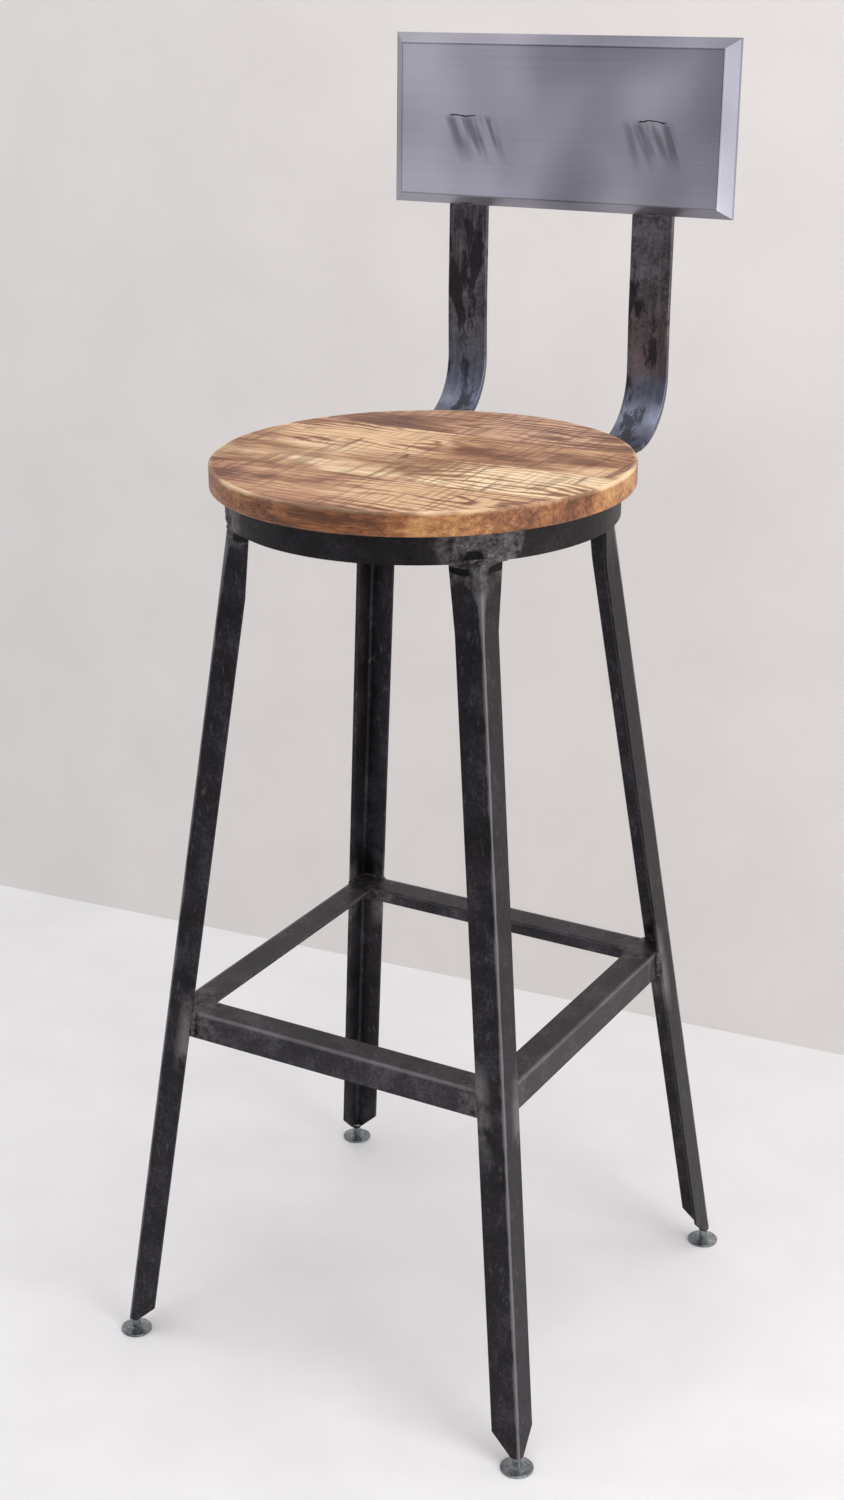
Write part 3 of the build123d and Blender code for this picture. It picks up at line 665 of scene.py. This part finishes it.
# support bars: a bead under the panel's lip, and one where the bar leaves the hoop
lip_back = panel_low.y + LIP_DEPTH * math.cos(PANEL_LEAN)
bar_under = seat_low.z - BAR_THICK
for side, sx in (("left", -1), ("right", 1)):
    x = sx * bar_x
    lip = Vector((x, lip_back - 0.4 * MM, panel_low.z + 0.6 * MM))
    path = [lip + Vector(step) * MM for step in ((-7, 0, 0.6), (0, 0, -1.2), (8, 0, 0.8))]
    bead(f"weld_lip_{side}", path, 2.0 * MM, 41 + sx)
    places = [x + off * MM for off in (-15, -8, 0, 8, 15)]
    path = [Vector((at, seat_y + math.sqrt(ring_r**2 - at**2), bar_under)) for at in places]
    bead(f"weld_bar_{side}", path, 2.0 * MM, 51 + sx)


# Floor and wall.


def painted(name, pale, dark, rough):
    """Flat masonry paint rolled on: nearly even, with faint 100 mm clouds."""

    def build(tree):
        place = add(tree, "TexCoord", out="Object")
        clouds = add(tree, "TexNoise", {"Vector": place, "Scale": 9.0, "Detail": 5.0})
        colour = add(tree, "ValToRGB", {"Fac": clouds}, stops=[(0.35, dark), (0.65, pale)])
        even = add(tree, "MapRange", {"Value": clouds, "To Min": rough - 0.05, "To Max": rough + 0.05})
        return colour, even, clouds

    return surface(name, build, 0.2 * MM, Metallic=0.0)


def plane(name, corners, finish):
    """A flat piece of the studio."""
    mesh = bpy.data.meshes.new(name)
    mesh.from_pydata(corners, [], [(0, 1, 2, 3)])
    mesh.materials.append(finish)
    made = bpy.data.objects.new(name, mesh)
    bpy.context.scene.collection.objects.link(made)


FLOOR = 6  # half its width, in metres
WALL_HALF, WALL_HIGH = 4, 3.2
WALL_PLACE = Vector((0, 0.578, 0))
WALL_TURN = math.radians(5.1)

floor_corners = [(-FLOOR, -FLOOR, 0), (FLOOR, -FLOOR, 0), (FLOOR, FLOOR, 0), (-FLOOR, FLOOR, 0)]
plane("floor", floor_corners, painted("floor_paint", "#eeedee", "#e9e8e9", 0.6))
wall_finish = painted("wall_paint", "#e8e3e0", "#e4dfdc", 0.7)
# the wall is see-through from behind, so that the stool can be looked at from its back
tree = wall_finish.node_tree
painted_side = tree.nodes["Principled BSDF"].outputs[0]
behind = add(tree, "NewGeometry", out="Backfacing")
tree.links.new(add(tree, "MixShader", {0: behind, 1: painted_side, 2: add(tree, "BsdfTransparent")}),
               tree.nodes["Material Output"].inputs["Surface"])
turn = Matrix.Rotation(WALL_TURN, 3, "Z")
corners = ((-WALL_HALF, 0, 0), (WALL_HALF, 0, 0), (WALL_HALF, 0, WALL_HIGH), (-WALL_HALF, 0, WALL_HIGH))
plane("wall", [WALL_PLACE + turn @ Vector(corner) for corner in corners], wall_finish)


# Light and camera.

scene = bpy.context.scene
scene.view_settings.view_transform = "Standard"
world = bpy.data.worlds.new("studio")
world.use_nodes = True
background = world.node_tree.nodes["Background"].inputs
background["Color"].default_value = linear("#f2f3f7")
background["Strength"].default_value = 0.45
scene.world = world


def softbox(name, place, aim, wide, tall, power, tone="#ffffff"):
    """Soft area light at place, turned to aim; sizes in metres, power in watts."""
    light = bpy.data.lights.new(name, "AREA")
    light.shape = "RECTANGLE"
    light.size, light.size_y = wide, tall
    light.energy = power
    light.color = linear(tone)[:3]
    made = bpy.data.objects.new(name, light)
    made.location = place
    made.rotation_euler = (Vector(aim) - Vector(place)).to_track_quat("-Z", "Y").to_euler()
    scene.collection.objects.link(made)


softbox("softbox_top", (0.2, -0.5, 2.9), (0, 0, 0), 2.6, 2.2, 39)
softbox("softbox_right", (2.5, -0.6, 1.5), (0, 0, 0.7), 1.6, 2.2, 38, "#fffcf8")
softbox("softbox_left", (-2.6, -1.0, 1.6), (0, 0, 0.7), 1.4, 2.0, 10, "#eef2ff")

# The eye, measured from the seat's axis on the floor, and the way it looks.
EYE = Vector((0.8959, seat_y - 1.5752, 1.2337))
YAW, DOWN, ROLL = (math.radians(angle) for angle in (31.853, 20.974, -1.164))
look = Vector((-math.sin(YAW) * math.cos(DOWN), math.cos(YAW) * math.cos(DOWN), -math.sin(DOWN)))
level = Vector((math.cos(YAW), math.sin(YAW), 0))
above = level.cross(look)
right = level * math.cos(ROLL) + above * math.sin(ROLL)
up = above * math.cos(ROLL) - level * math.sin(ROLL)
lens = bpy.data.cameras.new("camera")
lens.lens = 54.28
lens.sensor_width = 36
lens.shift_x = 0.0533
camera = bpy.data.objects.new("camera", lens)
camera.matrix_world = Matrix((
    (right.x, up.x, -look.x, EYE.x),
    (right.y, up.y, -look.y, EYE.y),
    (right.z, up.z, -look.z, EYE.z),
    (0, 0, 0, 1),
))
scene.collection.objects.link(camera)
scene.camera = camera
